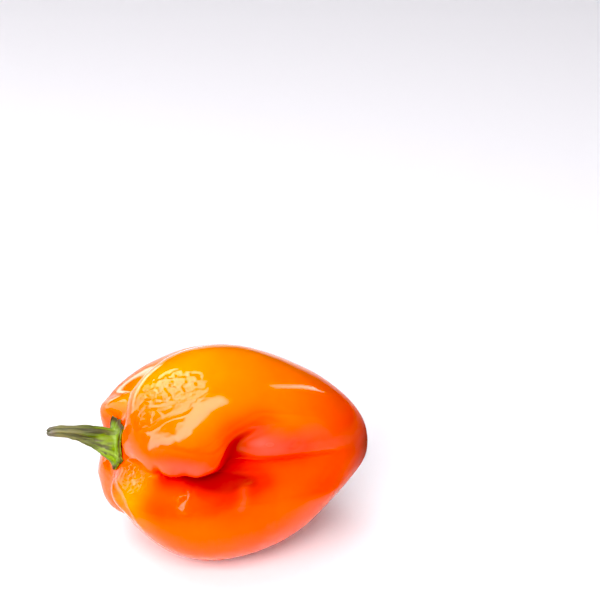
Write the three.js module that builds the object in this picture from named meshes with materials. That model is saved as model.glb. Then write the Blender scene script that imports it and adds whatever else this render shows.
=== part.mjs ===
// One habanero chilli, picked with its stalk and lying on its side.
//
// Millimetres, +Z up. The pod's length runs along X, the stalk towards -X and the blossom tip towards +X.
// The origin is the middle of the whole fruit's footprint, on the surface that the pod rests on.
//
// The fruit is shaped in its growing frame first: the stalk end at x = 0, the pod's own axis along +X, and
// an angle round that axis that is 0 at the front (-Y), 90 degrees on top (+Z) and -90 degrees underneath.
import * as THREE from "three";

// ---- Driving dimensions
const POD_LENGTH = 52.2; // from the shoulders' crest to the blossom tip
const POD_RADIUS = 20.6; // at the widest lobe
const TIP_LIFT = 0.9; // the tip end curls up by this much,
const CURL_START = 22; // from this far down the pod
const STALK_LENGTH = 13.9; // from the seat in the shoulders to the cut end
const CALYX_REACH = 0.125; // how far down the pod's outline the green cap spreads
const CALYX_TEETH = 5;
const SEAT_GAP = 0.39; // between the cap and the skin under it

// ---- How the fruit lies
const TIP_DOWN = 8; // degrees: the shoulders are broader than the tip, so the axis slopes to the tip
const CONTACT_DEPTH = 0.3; // how far the lobes flatten where they bear on the surface

// ---- Mesh density
const POD_STATIONS = 48; // along the outline
const POD_COLUMNS = 68; // round the axis
const COLUMN_CROWDING = 0.35; // how much closer than even the columns stand along the crease
const STALK_COLUMNS = 40;

// The pod's outline along the crest of a lobe and along the bottom of a groove between two lobes, from the
// seat of the stalk to the tip: shares of POD_LENGTH and of POD_RADIUS.
const CREST_LINE = [
  [0.075, 0], [0.07, 0.12], [0.055, 0.235], [0.013, 0.36], [0, 0.5], [0.023, 0.648], [0.084, 0.79],
  [0.191, 0.92], [0.335, 1], [0.489, 0.99], [0.642, 0.887], [0.776, 0.711], [0.881, 0.5], [0.954, 0.294],
  [0.989, 0.147], [1, 0],
];
const GROOVE_LINE = [
  [0.075, 0], [0.073, 0.12], [0.07, 0.235], [0.07, 0.343], [0.078, 0.46], [0.1, 0.588], [0.153, 0.716],
  [0.245, 0.824], [0.374, 0.897], [0.508, 0.902], [0.651, 0.828], [0.776, 0.681], [0.879, 0.49],
  [0.952, 0.289], [0.989, 0.142], [1, 0],
];

// The four grooves: where each runs, as [share of the outline, degrees], the share at which it has faded, and
// how deep it is as a share of the full depth.
const GROOVE_HALF_WIDTH = 26; // degrees
const GROOVE_FADE = 0.35; // share of the outline that a groove takes to fade
const GROOVE_LEFT = 0.2; // how much of it is left then
const GROOVES = [
  {
    route: [[0, 0], [0.2, 0], [0.3, 2], [0.4, 6], [0.5, 9], [0.55, 17], [0.6, 19], [1, 20]],
    fadesAt: 1.05,
    depth: 1,
  },
  { route: [[0, 104], [0.5, 112], [1, 110]], fadesAt: 0.7, depth: 1 },
  { route: [[0, 197], [0.5, 192], [1, 190]], fadesAt: 0.9, depth: 0.55 },
  { route: [[0, -88], [0.5, -88], [1, -90]], fadesAt: 0.8, depth: 0.5 },
];

// The lobes aren't alike: the middle of each, in degrees, its radius as a share, and how far its shoulder
// sits back.
const LOBES = [
  { middle: -130, radius: 1, setBack: 1.6 },
  { middle: -35, radius: 1.045, setBack: 1.6 },
  { middle: 60, radius: 1.02, setBack: 2.5 },
  { middle: 145, radius: 0.96, setBack: 0.9 },
];
const GIRTH_SPAN = [0.2, 0.45]; // the shares of the outline between which a lobe comes to its own radius
const SHOULDER_SPAN = [0.1, 0.27, 0.3, 0.55]; // where a shoulder's set-back starts, is whole, eases and ends

// Broad swellings and hollows: place on the outline, degrees, half size along and round, and height.
const SWELLINGS = [
  { at: 0.36, angle: -57, along: 0.09, round: 26, height: -2.1 }, // the lower front lobe narrows
  { at: 0.37, angle: 127, along: 0.1, round: 27, height: -2.8 }, // and so does the upper back lobe,
  { at: 0.33, angle: 150, along: 0.07, round: 16, height: -0.7 }, // down to its shoulder
  { at: 0.44, angle: -58, along: 0.06, round: 16, height: -0.9 }, // the lower front lobe's slimmer belly
  { at: 0.37, angle: -106, along: 0.06, round: 18, height: 1 }, // the lower back lobe shows beside it
  { at: 0.47, angle: 26, along: 0.055, round: 13, height: 1.1 }, // the thumb that ends the upper front lobe
  { at: 0.6, angle: 33, along: 0.05, round: 11, height: -1 }, // the hollow beside the thumb
  { at: 0.44, angle: -5, along: 0.06, round: 9, height: -0.7 }, // the drawn-in strip under the crease
  { at: 0.42, angle: -88, along: 0.17, round: 14, height: -1.3 }, // the groove that the pod straddles
  { at: 0.52, angle: 158, along: 0.1, round: 20, height: 0.8 }, // the belly of the upper back lobe
  { at: 0.6, angle: -158, along: 0.07, round: 15, height: -0.9 }, // a hollow at the lower back lobe's end
  { at: 0.72, angle: 172, along: 0.06, round: 18, height: 0.5 }, // a swelling beyond it
  { at: 0.45, angle: 108, along: 0.08, round: 25, height: 0.4 }, // the highest part of the back
  { at: 0.68, angle: 100, along: 0.07, round: 30, height: -0.5 }, // the slope down from it
  { at: 0.84, angle: 80, along: 0.07, round: 35, height: 0.5 }, // the blunt upper side of the tip
  { at: 0.2, angle: 74, along: 0.08, round: 26, height: -1.8 }, // the upper front shoulder slopes off here
  { at: 0.8, angle: -40, along: 0.09, round: 30, height: -0.8 }, // its slimmer lower side
];
const PLAIN_SEAT = [0, 0.05]; // the shares of the outline between which they all come up,
const PLAIN_TIP = [0.9, 1]; // and those between which they all die away
const CORE = [15, 32]; // the stretch of the pod's axis that every swelling and crease points away from

// The crease between the two front lobes: its route, its depth along the way, and its width above and below.
const CREASE = {
  route: [
    [0.14, 2], [0.2, 0], [0.3, 1.5], [0.38, 5], [0.45, 8], [0.5, 10.5], [0.53, 14], [0.555, 19], [0.6, 20],
    [0.74, 21],
  ],
  depth: [[0.12, 0], [0.2, 0.5], [0.33, 1], [0.4, 2.6], [0.53, 3.2], [0.58, 1.7], [0.66, 0.8], [0.78, 0]],
  above: 1.6,
  below: 2.6,
  steepness: 2.2,
};

// The fold that branches off the crease and climbs behind the thumb: [degrees, share of the outline], depth.
const FOLD = {
  route: [[17, 0.545], [24, 0.555], [33, 0.575], [40, 0.61]],
  depth: [[10, 0], [17, 0.8], [22, 2.6], [30, 2.3], [40, 0.6], [46, 0]],
  towardsStalk: 1.4,
  towardsTip: 3,
  steepness: 1.5,
  outlineLength: 75, // length of the pod's outline from seat to tip
};

// The green cap: share of its reach, and height above the skin, from the middle of its underside to where
// the stem rises.
const CAP_THICKNESS = 0.8;
const TOOTH_DEPTH = 0.1; // share of the reach
const TOOTH_TURN = 1; // radians
const CAP_OVAL = 0.04;
const CAP_ROWS = [
  [0, 0], [0.35, 0], [0.7, 0], [0.95, 0], [1, 0.35], [0.97, 0.8], [0.85, 1], [0.72, 1.3],
];
// The stem: share of STALK_LENGTH, and radius, with one soft rib for each tooth of the cap.
const RIB = 0.07;
const STEM_ROWS = [
  [0.16, 2.95], [0.22, 2.7], [0.29, 2.4], [0.36, 2.1], [0.44, 1.8], [0.65, 1.22], [0.83, 0.98],
  [0.94, 0.86], [0.98, 0.7], [0.997, 0.42], [1, 0],
];
// The stem's middle line: share of STALK_LENGTH, and height above the pod's axis.
const STEM_RISE = [[0, 0.2], [0.15, 0.7], [0.29, 1.65], [0.44, 2.5], [0.65, 3.2], [0.83, 3.45], [1, 3.3]];

const TURN = 2 * Math.PI;
const radians = THREE.MathUtils.degToRad;
const ease = THREE.MathUtils.smoothstep;

/** The value of a table of [place, value] pairs at a place, with straight lines between the pairs. */
function along(table, place) {
  const next = table.findIndex(([p]) => p > place);
  if (next === 0) return table[0][1];
  if (next < 0) return table.at(-1)[1];
  const [[p0, v0], [p1, v1]] = [table[next - 1], table[next]];
  return v0 + ((v1 - v0) * (place - p0)) / (p1 - p0);
}

/** The signed angle from one direction to another, between -pi and pi. */
function turnBetween(from, to) {
  return THREE.MathUtils.euclideanModulo(to - from + Math.PI, TURN) - Math.PI;
}

/** A smooth curve through an outline's points, scaled to the pod: x along the axis, y out from it. */
function outlineCurve(line) {
  return new THREE.SplineCurve(line.map(([x, r]) => new THREE.Vector2(x * POD_LENGTH, r * POD_RADIUS)));
}

const crestCurve = outlineCurve(CREST_LINE);
const grooveCurve = outlineCurve(GROOVE_LINE);

/** How far a place lies down in a groove: 1 at its bottom and 0 on a lobe. */
function grooveShare(share, angle) {
  let deepest = 0;
  for (const groove of GROOVES) {
    const off = turnBetween(radians(along(groove.route, share)), angle) / radians(GROOVE_HALF_WIDTH);
    const kept = 1 - (1 - GROOVE_LEFT) * ease(share, groove.fadesAt - GROOVE_FADE, groove.fadesAt);
    deepest = Math.max(deepest, groove.depth * kept * Math.exp(-(Math.abs(off) ** 1.5)));
  }
  return deepest;
}

/** A lobe's property at an angle, passing smoothly from each lobe's middle to the next. */
function lobeValue(angle, property) {
  for (let i = 0; i < LOBES.length; i++) {
    const here = LOBES[i];
    const next = LOBES[(i + 1) % LOBES.length];
    const span = THREE.MathUtils.euclideanModulo(radians(next.middle - here.middle), TURN);
    const into = THREE.MathUtils.euclideanModulo(angle - radians(here.middle), TURN);
    if (into < span) return THREE.MathUtils.lerp(here[property], next[property], ease(into / span, 0, 1));
  }
  return LOBES[0][property];
}

/** A notch that is 1 at its middle, round on the far side and of a given steepness on the near side. */
function notch(distance, widthBeyond, widthBefore, steepness) {
  if (distance > 0) return Math.exp(-((distance / widthBeyond) ** 2));
  return Math.exp(-(Math.abs(distance / widthBefore) ** steepness));
}

/** Height of the skin above the plain lobed form: swellings, less the crease and the fold. */
function relief(share, angle, radius) {
  let height = 0;
  for (const s of SWELLINGS) {
    const round = turnBetween(radians(s.angle), angle) / radians(s.round);
    height += s.height * Math.exp(-(((share - s.at) / s.along) ** 2) - round ** 2);
  }
  const offCrease = turnBetween(radians(along(CREASE.route, share)), angle) * radius;
  height -= along(CREASE.depth, share) * notch(offCrease, CREASE.above, CREASE.below, CREASE.steepness);
  const degrees = THREE.MathUtils.radToDeg(turnBetween(0, angle));
  const offFold = (along(FOLD.route, degrees) - share) * FOLD.outlineLength;
  height -= along(FOLD.depth, degrees) * notch(offFold, FOLD.towardsStalk, FOLD.towardsTip, FOLD.steepness);
  return height * ease(share, ...PLAIN_SEAT) * (1 - ease(share, ...PLAIN_TIP));
}

/** A point of the pod's skin in the growing frame, at a share of the outline and an angle round the axis. */
function skin(share, angle) {
  const crest = crestCurve.getPoint(share);
  const groove = grooveCurve.getPoint(share);
  const inGroove = grooveShare(share, angle);
  const [starts, whole, eases, ends] = SHOULDER_SPAN;
  const onShoulder = ease(share, starts, whole) * (1 - ease(share, eases, ends));
  const x = THREE.MathUtils.lerp(crest.x, groove.x, inGroove) + lobeValue(angle, "setBack") * onShoulder;
  const girth = 1 + (lobeValue(angle, "radius") - 1) * ease(share, ...GIRTH_SPAN);
  const radius = THREE.MathUtils.lerp(crest.y, groove.y, inGroove) * girth;
  const curl = TIP_LIFT * ease(x, CURL_START, POD_LENGTH);
  const point = new THREE.Vector3(x, -radius * Math.cos(angle), radius * Math.sin(angle) + curl);
  const core = new THREE.Vector3(THREE.MathUtils.clamp(x, ...CORE), 0, 0);
  const outward = point.clone().sub(core).normalize();
  return point.addScaledVector(outward, relief(share, angle, radius));
}

/** The way out of the skin at a place, from two small steps along it. */
function outOfSkin(share, angle) {
  if (share < 1e-6) return new THREE.Vector3(-1, 0, 0);
  const here = skin(share, angle);
  const down = skin(share + 1e-3, angle).sub(here);
  const round = skin(share, angle + 1e-2).sub(here);
  return down.cross(round).normalize();
}

/** The angle of a turned blank's point. The last column lies exactly on the first. */
function turnOf(uv, i) {
  return TURN * (uv.getX(i) % 1);
}

/** How far round from the crease a column of the pod stands: even, but closer together along the crease. */
function columnTurn(turn) {
  return turn - COLUMN_CROWDING * Math.sin(turn);
}

/** The pod: a turned blank whose points are moved onto the skin, with one column of them along the crease. */
function podGeometry() {
  const shares = Array.from({ length: POD_STATIONS + 1 }, (_, i) => i / POD_STATIONS);
  const blank = new THREE.LatheGeometry(shares.map((s) => crestCurve.getPoint(s)), POD_COLUMNS);
  const { position, uv } = blank.attributes;
  for (let i = 0; i < position.count; i++) {
    const share = uv.getY(i);
    const point = skin(share, radians(along(CREASE.route, share)) - columnTurn(turnOf(uv, i)));
    position.setXYZ(i, point.x, point.y, point.z);
  }
  return blank;
}

/** A point of the green cap, which follows the skin: a share of its reach, a height off it, and an angle. */
function capPoint(reach, height, angle) {
  const teeth = TOOTH_DEPTH * Math.cos(CALYX_TEETH * angle + TOOTH_TURN) + CAP_OVAL * Math.cos(2 * angle);
  const share = CALYX_REACH * reach * (1 + teeth * reach ** 2);
  return skin(share, angle).addScaledVector(outOfSkin(share, angle), SEAT_GAP + height * CAP_THICKNESS);
}

/** A point of the stem's side, at a share of its length and an angle round it. */
function stemPoint(length, radius, angle) {
  const ribbed = radius * (1 + RIB * Math.cos(CALYX_TEETH * angle + TOOTH_TURN) * (1 - length));
  const x = CREST_LINE[0][0] * POD_LENGTH - length * STALK_LENGTH;
  return new THREE.Vector3(x, -ribbed * Math.cos(angle), ribbed * Math.sin(angle) + along(STEM_RISE, length));
}

/** The stalk: the cap's underside, rim and top, and then the stem out to its cut end, in one closed skin. */
function stalkGeometry() {
  const rows = [
    ...CAP_ROWS.map(([reach, height]) => (angle) => capPoint(reach, height, angle)),
    ...STEM_ROWS.map(([length, radius]) => (angle) => stemPoint(length, radius, angle)),
  ];
  const blankProfile = rows.map((_, i) => new THREE.Vector2(Math.sin((Math.PI * i) / (rows.length - 1)), i));
  const blank = new THREE.LatheGeometry(blankProfile, STALK_COLUMNS);
  const { position, uv } = blank.attributes;
  for (let i = 0; i < position.count; i++) {
    const row = Math.round(uv.getY(i) * (rows.length - 1));
    const point = rows[row](turnOf(uv, i));
    position.setXYZ(i, point.x, point.y, point.z);
  }
  return blank;
}

/** Lays the fruit on its side, flattens the pod where it bears on the surface, and centres the footprint. */
function layDown(pod, stalk) {
  const lean = new THREE.Matrix4().makeRotationY(radians(TIP_DOWN));
  for (const geometry of [pod, stalk]) geometry.applyMatrix4(lean);
  const box = new THREE.Box3().setFromBufferAttribute(pod.attributes.position);
  box.union(new THREE.Box3().setFromBufferAttribute(stalk.attributes.position));
  const middle = box.getCenter(new THREE.Vector3());
  for (const geometry of [pod, stalk]) geometry.translate(-middle.x, -middle.y, -box.min.z - CONTACT_DEPTH);
  const { position } = pod.attributes;
  for (let i = 0; i < position.count; i++) position.setZ(i, Math.max(0, position.getZ(i)));
}

/** One named piece of the fruit. */
function piece(name, geometry, material) {
  geometry.computeVertexNormals();
  const mesh = new THREE.Mesh(geometry, material);
  mesh.name = name;
  return mesh;
}

const waxySkin = new THREE.MeshStandardMaterial({ color: 0xf96a05, roughness: 0.18, metalness: 0 });
const greenStalk = new THREE.MeshStandardMaterial({ color: 0x6b8f3a, roughness: 0.6, metalness: 0 });

const pod = podGeometry();
const stalk = stalkGeometry();
layDown(pod, stalk);

const fruit = new THREE.Group();
fruit.add(piece("pod", pod, waxySkin), piece("stalk_with_calyx", stalk, greenStalk));

export default fruit;
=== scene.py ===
"""One habanero chilli, picked with its stalk and lying on its side.

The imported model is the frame. The pod and the stalk with its green cap are modelled here in full detail, each
in the place of its plain CAD solid, and a plain studio stands round them. Lengths are in millimetres until a
mesh is written, which is in metres.

The fruit is shaped in its growing frame: the stalk end at x = 0, the pod's own axis along +X, and an angle
round that axis that is 0 at the front (-Y), 90 degrees on top and -90 degrees underneath. A place on the skin
is a share of the outline, from the stalk's seat to the tip, and that angle.
"""

import logging
import math
from dataclasses import dataclass, field
from enum import Enum
from typing import NamedTuple

import bmesh
import bpy
import numpy as np
from bpy.types import ID, Material, Node, NodeSocket, NodeTree, Object, ShaderNodeTree
from mathutils import Matrix, Vector, noise

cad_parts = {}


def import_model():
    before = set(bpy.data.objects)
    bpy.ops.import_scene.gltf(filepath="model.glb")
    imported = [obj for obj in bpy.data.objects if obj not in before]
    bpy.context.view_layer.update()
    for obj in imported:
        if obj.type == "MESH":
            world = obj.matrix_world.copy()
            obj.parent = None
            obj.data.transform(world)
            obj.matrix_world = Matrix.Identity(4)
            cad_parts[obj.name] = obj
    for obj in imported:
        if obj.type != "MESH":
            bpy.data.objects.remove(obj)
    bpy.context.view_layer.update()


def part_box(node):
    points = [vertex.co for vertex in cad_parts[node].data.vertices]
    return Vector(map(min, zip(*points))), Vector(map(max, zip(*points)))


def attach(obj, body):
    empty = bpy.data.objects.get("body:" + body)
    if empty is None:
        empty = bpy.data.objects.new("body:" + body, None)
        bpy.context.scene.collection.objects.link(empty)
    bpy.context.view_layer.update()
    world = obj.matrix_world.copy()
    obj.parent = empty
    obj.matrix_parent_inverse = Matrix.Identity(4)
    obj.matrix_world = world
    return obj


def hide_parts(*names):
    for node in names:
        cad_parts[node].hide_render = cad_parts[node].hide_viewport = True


LOG = logging.getLogger("habanero")
MM = 0.001
TURN = 2 * math.pi
TINY = 1e-9
# What is no brighter than this in the render shows as black, which keeps the colours deep.
BLACK_LEVEL = 0.05
# The rows and columns at which the pod's formula is read to find its box.
BOX_GRID = (97, 145)

Array = np.ndarray
Pair = tuple[float, float]
Pairs = tuple[Pair, ...]
Triple = tuple[float, float, float]


class Mask(str, Enum):
    """The values that a piece stores with its points, for its material to read."""

    # the skin's tone: ripeness, with painted shade (redder) in the crease, the fold and at the tip, and a
    # painted lit top (yellower)
    RIPENESS_AND_PAINTED_LIGHT = "ripeness_and_painted_light"
    GLOSS = "gloss"
    # a pale pink painted sheen: painted reflections and a painted highlight, mixed into the skin's colour
    BLOOM = "painted_sheen"
    DRYNESS = "dryness"
    # painted shade in the grooves between the stem's ribs
    FURROW_SHADE = "furrow_shade"
    MARGIN = "margin"


class Glow(Enum):
    """What a lamp does: it lights surfaces and never shows in their gloss, or it only shows there."""

    FILL = "fill"
    SHINE = "shine"


# ---- Curves and tables


def ease(value: Array, low: float, high: float) -> Array:
    """Returns 0 below low, 1 above high and a smooth rise between them."""
    t = np.clip((value - low) / (high - low), 0, 1)
    return t * t * (3 - 2 * t)


def hump(distance: Array, width: float) -> Array:
    """Returns a round hump that is 1 where the distance is 0."""
    return np.exp(-((distance / width) ** 2))


def turn_between(start: Array, end: Array) -> Array:
    """Returns the signed angle from start to end, between -pi and pi."""
    return (end - start + math.pi) % TURN - math.pi


def table(pairs: Pairs, place: Array) -> Array:
    """Reads a smooth curve through a table.

    Args:
        pairs: the table's places, rising, each with its value.
        place: where to read it.

    Returns:
        The values there, constant past both ends.
    """
    x, y = np.array(pairs, float).T
    slope = np.gradient(y, x)
    i = np.clip(np.searchsorted(x, place, side="right") - 1, 0, len(x) - 2)
    width = x[i + 1] - x[i]
    t = np.clip((place - x[i]) / width, 0, 1)
    rise = t * t * (3 - 2 * t)
    leave = width * slope[i] * t * (1 - t) ** 2
    arrive = width * slope[i + 1] * t * t * (t - 1)
    return y[i] + (y[i + 1] - y[i]) * rise + leave + arrive


def spline(points: Array, share: Array) -> Array:
    """Reads an even Catmull-Rom curve.

    Args:
        points: the points it runs through, along the first axis.
        share: how far along it to read, from 0 to 1.

    Returns:
        A point for each share.
    """
    last = len(points) - 1
    t = np.clip(share, 0, 1) * last
    i = np.minimum(t.astype(int), last - 1)
    t = (t - i).reshape(-1, *[1] * (points.ndim - 1))
    before, here, there, after = (points[np.clip(i + k, 0, last)] for k in (-1, 0, 1, 2))
    bend = 2 * before - 5 * here + 4 * there - after
    twist = -before + 3 * here - 3 * there + after
    return 0.5 * (2 * here + (there - before) * t + bend * t**2 + twist * t**3)


def lumps(points: Array, size: float, seed: float, octaves: int = 2) -> Array:
    """Returns smooth random lumps, about -1 to 1, that are size millimetres across."""
    shift = Vector((seed, 2 * seed, 3 * seed))
    return np.array([noise.fractal(Vector(p) / size + shift, 1.0, 2.0, octaves) for p in points])


def unit(vectors: Array) -> Array:
    """Returns the vectors at length 1."""
    return vectors / np.maximum(np.linalg.norm(vectors, axis=-1, keepdims=True), TINY)


# ---- The pod's form, as the CAD solid has it


class Groove(NamedTuple):
    """A groove between lobes: its route as (share, degrees), where it has faded and its share of depth."""

    route: Pairs
    fades_at: float
    depth: float


class Lobe(NamedTuple):
    """A lobe: the middle of it in degrees, its radius as a share, and how far back its shoulder sits."""

    middle: float
    radius: float
    set_back: float


class Swelling(NamedTuple):
    """A swelling or hollow: place, degrees, half size along and round, and height."""

    at: float
    angle: float
    along: float
    round: float
    height: float


def swellings_of(*rows: tuple[float, ...]) -> tuple[Swelling, ...]:
    """Returns swellings that are given as plain rows."""
    return tuple(Swelling(*row) for row in rows)


def swell(swellings: tuple[Swelling, ...], share: Array, angle: Array) -> Array:
    """Adds up swellings and hollows of the skin.

    Args:
        swellings: what to add up.
        share: the places' shares of the outline.
        angle: their angles.

    Returns:
        The sum at each place.
    """
    height = np.zeros_like(share)
    for s in swellings:
        off = turn_between(math.radians(s.angle), angle) / math.radians(s.round)
        height += s.height * hump(share - s.at, s.along) * hump(off, 1)
    return height


class Mark(NamedTuple):
    """A raised or sunk line on the skin: its route as (share, degrees), and half width and height in mm."""

    route: Pairs
    half_width: float
    height: float


class Crumple(NamedTuple):
    """A patch of fine wrinkles: place, degrees, half size along and round, and grain and height in mm."""

    at: float
    angle: float
    along: float
    round: float
    grain: float
    height: float


@dataclass(frozen=True)
class PodForm:
    """The pod's skin as a formula, the same one that the CAD solid follows."""

    length: float = 52.2
    radius: float = 20.6
    tip_lift: float = 0.9
    curl_start: float = 22
    tip_down: float = 8
    outline_length: float = 75
    core: Pair = (15, 32)
    crest_line: Pairs = (
        (0.075, 0), (0.07, 0.12), (0.055, 0.235), (0.013, 0.36), (0, 0.5), (0.023, 0.648), (0.084, 0.79),
        (0.191, 0.92), (0.335, 1), (0.489, 0.99), (0.642, 0.887), (0.776, 0.711), (0.881, 0.5),
        (0.954, 0.294), (0.989, 0.147), (1, 0),
    )
    groove_line: Pairs = (
        (0.075, 0), (0.073, 0.12), (0.07, 0.235), (0.07, 0.343), (0.078, 0.46), (0.1, 0.588),
        (0.153, 0.716), (0.245, 0.824), (0.374, 0.897), (0.508, 0.902), (0.651, 0.828), (0.776, 0.681),
        (0.879, 0.49), (0.952, 0.289), (0.989, 0.142), (1, 0),
    )
    groove_half_width: float = 26
    groove_steepness: float = 1.5
    groove_fade: float = 0.35
    groove_left: float = 0.2
    grooves: tuple[Groove, ...] = (
        Groove(((0, 0), (0.2, 0), (0.3, 2), (0.4, 6), (0.5, 9), (0.55, 17), (0.6, 19), (1, 20)), 1.05, 1),
        Groove(((0, 104), (0.5, 112), (1, 110)), 0.7, 1),
        Groove(((0, 197), (0.5, 192), (1, 190)), 0.9, 0.55),
        Groove(((0, -88), (0.5, -88), (1, -90)), 0.8, 0.5),
    )
    lobes: tuple[Lobe, ...] = (
        Lobe(-130, 1, 1.6), Lobe(-35, 1.045, 1.6), Lobe(60, 1.02, 2.5), Lobe(145, 0.96, 0.9),
    )
    girth_span: Pair = (0.2, 0.45)
    shoulder_span: tuple[float, float, float, float] = (0.1, 0.27, 0.3, 0.55)
    swellings: tuple[Swelling, ...] = swellings_of(
        (0.36, -57, 0.09, 26, -2.1), (0.37, 127, 0.1, 27, -2.8), (0.33, 150, 0.07, 16, -0.7),
        (0.44, -58, 0.06, 16, -0.9), (0.37, -106, 0.06, 18, 1), (0.47, 26, 0.055, 13, 1.1),
        (0.6, 33, 0.05, 11, -1), (0.44, -5, 0.06, 9, -0.7), (0.42, -88, 0.17, 14, -1.3),
        (0.52, 158, 0.1, 20, 0.8), (0.6, -158, 0.07, 15, -0.9), (0.72, 172, 0.06, 18, 0.5),
        (0.45, 108, 0.08, 25, 0.4), (0.68, 100, 0.07, 30, -0.5), (0.84, 80, 0.07, 35, 0.5),
        (0.2, 74, 0.08, 26, -1.8), (0.8, -40, 0.09, 30, -0.8),
    )
    crease_route: Pairs = (
        (0.14, 2), (0.2, 0), (0.3, 1.5), (0.38, 5), (0.45, 8), (0.5, 10.5), (0.53, 14), (0.555, 19),
        (0.6, 20), (0.74, 21),
    )
    crease_depth: Pairs = (
        (0.12, 0), (0.2, 0.5), (0.33, 1), (0.4, 2.6), (0.53, 3.2), (0.58, 1.7), (0.66, 0.8), (0.78, 0),
    )
    crease_notch: Triple = (1.6, 2.6, 2.2)
    fold_route: Pairs = ((17, 0.545), (24, 0.555), (33, 0.575), (40, 0.61))
    fold_depth: Pairs = ((10, 0), (17, 0.8), (22, 2.6), (30, 2.3), (40, 0.6), (46, 0))
    fold_notch: Triple = (1.4, 3, 1.5)
    plain_seat: Pair = (0, 0.05)
    plain_tip: Pair = (0.9, 1)
    normal_step: Pair = (1e-3, 1e-2)
    pole: float = 1e-6

    def groove_share(self, share: Array, angle: Array) -> Array:
        """Finds how far places lie down in a groove.

        Args:
            share: the places' shares of the outline.
            angle: their angles.

        Returns:
            1 at a groove's bottom and 0 on a lobe.
        """
        deepest = np.zeros_like(share)
        for groove in self.grooves:
            middle = np.radians(table(groove.route, share))
            off = np.abs(turn_between(middle, angle)) / math.radians(self.groove_half_width)
            faded = ease(share, groove.fades_at - self.groove_fade, groove.fades_at)
            kept = 1 - (1 - self.groove_left) * faded
            deepest = np.maximum(deepest, groove.depth * kept * np.exp(-(off**self.groove_steepness)))
        return deepest

    def lobe_value(self, angle: Array, name: str) -> Array:
        """Reads a property of the lobes, which passes smoothly from one lobe's middle to the next.

        Args:
            angle: where to read it.
            name: the property's name.

        Returns:
            Its value at each angle.
        """
        value = np.zeros_like(angle)
        for here, after in zip(self.lobes, self.lobes[1:] + self.lobes[:1]):
            span = math.radians(after.middle - here.middle) % TURN
            into = (angle - math.radians(here.middle)) % TURN
            start, end = getattr(here, name), getattr(after, name)
            value = np.where(into < span, start + (end - start) * ease(into / span, 0, 1), value)
        return value

    def off_crease(self, share: Array, angle: Array, radius: Array) -> Array:
        """Returns how far above the crease each place lies, in millimetres along the skin."""
        return turn_between(np.radians(table(self.crease_route, share)), angle) * radius

    def relief(self, share: Array, angle: Array, radius: Array) -> Array:
        """Finds the skin's height over the plain lobed form: swellings, less the crease and the fold.

        Args:
            share: the places' shares of the outline.
            angle: their angles.
            radius: their distances from the axis.

        Returns:
            The height at each place.
        """
        height = swell(self.swellings, share, angle)
        above = self.off_crease(share, angle, radius)
        height -= table(self.crease_depth, share) * self.notch(above, *self.crease_notch)
        degrees = np.degrees(turn_between(0, angle))
        before_fold = (table(self.fold_route, degrees) - share) * self.outline_length
        height -= table(self.fold_depth, degrees) * self.notch(before_fold, *self.fold_notch)
        return height * ease(share, *self.plain_seat) * (1 - ease(share, *self.plain_tip))

    @staticmethod
    def notch(distance: Array, beyond: float, before: float, steepness: float) -> Array:
        """Returns a notch that is 1 at its middle, round beyond it and of a given steepness before it."""
        near = np.exp(-(np.abs(distance / before) ** steepness))
        return np.where(distance > 0, hump(distance, beyond), near)

    def plain(self, share: Array, angle: Array) -> tuple[Array, Array]:
        """Finds the lobed form without its relief.

        Args:
            share: the places' shares of the outline.
            angle: their angles.

        Returns:
            The distances along the axis, and those out from it.
        """
        scale = np.array([self.length, self.radius])
        crest = spline(np.array(self.crest_line) * scale, share)
        groove = spline(np.array(self.groove_line) * scale, share)
        sunk = self.groove_share(share, angle)
        starts, whole, eases, ends = self.shoulder_span
        shoulder = ease(share, starts, whole) * (1 - ease(share, eases, ends))
        x = crest[:, 0] + (groove[:, 0] - crest[:, 0]) * sunk + self.lobe_value(angle, "set_back") * shoulder
        girth = 1 + (self.lobe_value(angle, "radius") - 1) * ease(share, *self.girth_span)
        return x, (crest[:, 1] + (groove[:, 1] - crest[:, 1]) * sunk) * girth

    def skin(self, share: Array, angle: Array) -> tuple[Array, Array]:
        """Finds the skin at places on it.

        Args:
            share: the places' shares of the outline.
            angle: their angles.

        Returns:
            The points, and the directions that lead out of the pod there.
        """
        x, radius = self.plain(share, angle)
        curl = self.tip_lift * ease(x, self.curl_start, self.length)
        points = np.stack([x, -radius * np.cos(angle), radius * np.sin(angle) + curl], -1)
        inner = np.zeros_like(points)
        inner[:, 0] = np.clip(x, *self.core)
        outward = unit(points - inner)
        return points + outward * self.relief(share, angle, radius)[:, None], outward

    def normal(self, share: Array, angle: Array) -> Array:
        """Finds the way out of the skin, square to it.

        Args:
            share: the places' shares of the outline.
            angle: their angles.

        Returns:
            A direction for each place.
        """
        step, turn = self.normal_step
        here = self.skin(share, angle)[0]
        down = self.skin(share + step, angle)[0] - here
        sideways = self.skin(share, angle + turn)[0] - here
        out = unit(np.cross(down, sideways))
        out[share < self.pole] = (-1, 0, 0)
        return out


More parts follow.
